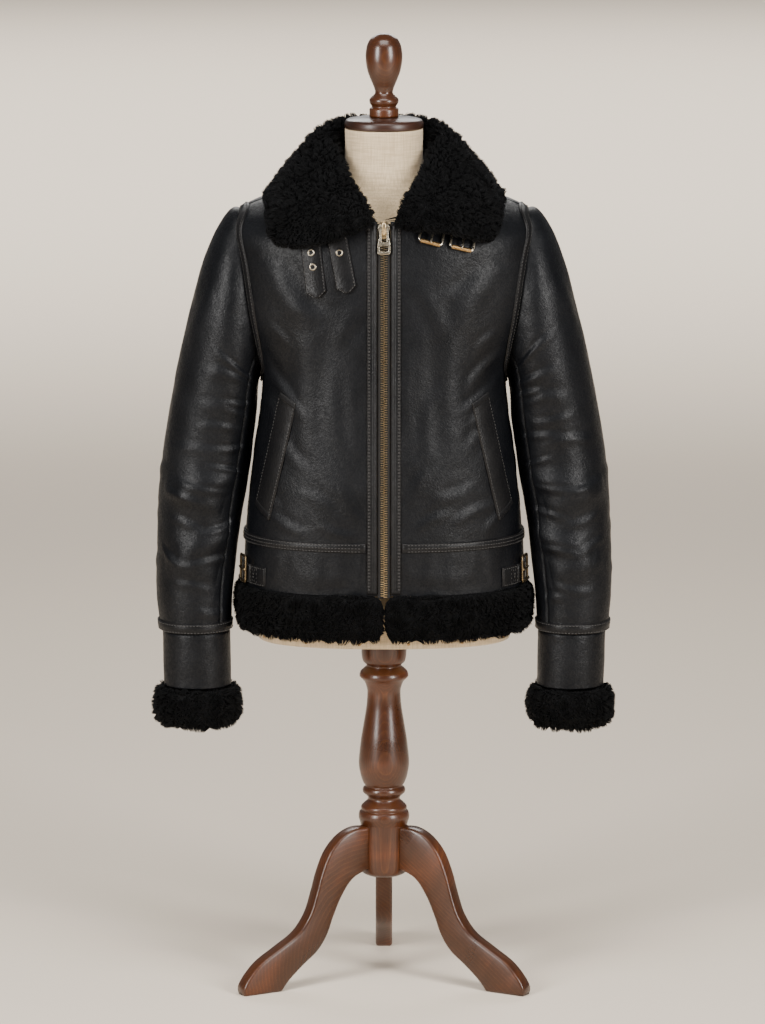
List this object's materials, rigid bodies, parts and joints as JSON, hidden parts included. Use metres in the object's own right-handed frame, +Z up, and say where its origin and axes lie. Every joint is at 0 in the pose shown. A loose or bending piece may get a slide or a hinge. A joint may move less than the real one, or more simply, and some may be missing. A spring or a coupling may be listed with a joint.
{
  "type": "shearling coat on a limbless dress form with a turned wooden stand",
  "caption": "Zipped short shearling coat with fur collar, cuffs and hem, throat straps and buckles, on a limbless linen dress form on a turned wooden tripod stand.",
  "frame": {"origin": "on the floor, in the middle of the whole object's outline seen from above", "axes": "+Z up, the coat's front faces -Y, and the wearer's left is +X"},
  "size_m": [0.599, 0.3535, 1.235],
  "materials": {
    "leather": "black, fine grain, satin",
    "fur": "black clipped fur, matt",
    "zip": "aged brass teeth and slider",
    "rollers": "aged bronze-coloured brass",
    "nickel": "aged nickel, satin",
    "linen": "plain woven natural linen",
    "wood": "walnut-brown gloss varnish, turned"
  },
  "bodies": {
    "coat_on_form": {"front_left": "leather", "front_right": "leather", "back": "leather", "waistband_left": "leather", "waistband_right": "leather", "waistband_back": "leather", "waist_tape": "leather", "sleeve_top_left": "leather", "sleeve_top_right": "leather", "sleeve_under_left": "leather", "sleeve_under_right": "leather", "sleeve_end_left": "leather", "sleeve_end_right": "leather", "wrist_tape_left": "leather", "wrist_tape_right": "leather", "armhole_tape_left": "leather", "armhole_tape_right": "leather", "placket_left": "leather", "placket_right": "leather", "pocket_welt_left": "leather", "pocket_welt_right": "leather", "side_tab_left": "leather", "side_tab_right": "leather", "side_strap_left": "leather", "side_strap_right": "leather", "throat_strap_1": "leather", "throat_strap_2": "leather", "buckle_loop_1": "leather", "buckle_loop_2": "leather", "cuff_fur_left": "fur", "cuff_fur_right": "fur", "collar": "fur", "hem_fur_left": "fur", "hem_fur_right": "fur", "hem_fur_back": "fur", "zip_left": "zip", "zip_right": "zip", "zip_slider": "zip", "eyelet_1": "nickel", "eyelet_2": "nickel", "eyelet_3": "nickel", "eyelet_4": "nickel", "side_buckle_left": "nickel", "side_buckle_right": "nickel", "form_torso": "linen", "form_cap": "wood", "finial": "wood", "column": "wood", "leg_left": "wood", "leg_right": "wood", "leg_back": "wood"},
    "zip_pull": {"zip_pull": "nickel"},
    "buckle_frame_1": {"buckle_frame_1": "nickel"},
    "buckle_frame_2": {"buckle_frame_2": "nickel"},
    "buckle_prong_1": {"buckle_prong_1": "nickel"},
    "buckle_prong_2": {"buckle_prong_2": "nickel"},
    "buckle_roller_1": {"buckle_roller_1": "rollers"},
    "buckle_roller_2": {"buckle_roller_2": "rollers"}
  },
  "joints": [
    {"name": "zip_pull_swing", "type": "hinge", "parent": "coat_on_form", "child": "zip_pull", "pos_m": [0.00001, -0.15138, 1.00149], "axis": [-1, 0, 0], "range_deg": [0, 150]},
    {"name": "buckle_1_swing", "type": "hinge", "parent": "coat_on_form", "child": "buckle_frame_1", "pos_m": [0.06337, -0.13785, 1.00363], "axis": [-0.9601, -0.1093, 0.2573], "range_deg": [0, 12]},
    {"name": "prong_1_swing", "type": "hinge", "parent": "buckle_frame_1", "child": "buckle_prong_1", "pos_m": [0.06337, -0.13785, 1.00363], "axis": [-0.9601, -0.1093, 0.2573], "range_deg": [0, 12]},
    {"name": "roller_1_spin", "type": "hinge", "parent": "buckle_frame_1", "child": "buckle_roller_1", "pos_m": [0.0585, -0.1503, 0.98017], "axis": [-0.9601, -0.1093, 0.2573], "continuous": true},
    {"name": "buckle_2_swing", "type": "hinge", "parent": "coat_on_form", "child": "buckle_frame_2", "pos_m": [0.10194, -0.13231, 0.99519], "axis": [-0.9606, -0.1412, 0.2395], "range_deg": [0, 12]},
    {"name": "prong_2_swing", "type": "hinge", "parent": "buckle_frame_2", "child": "buckle_prong_2", "pos_m": [0.10194, -0.13231, 0.99519], "axis": [-0.9606, -0.1412, 0.2395], "range_deg": [0, 12]},
    {"name": "roller_2_spin", "type": "hinge", "parent": "buckle_frame_2", "child": "buckle_roller_2", "pos_m": [0.09809, -0.14552, 0.97196], "axis": [-0.9606, -0.1412, 0.2395], "continuous": true}
  ]
}
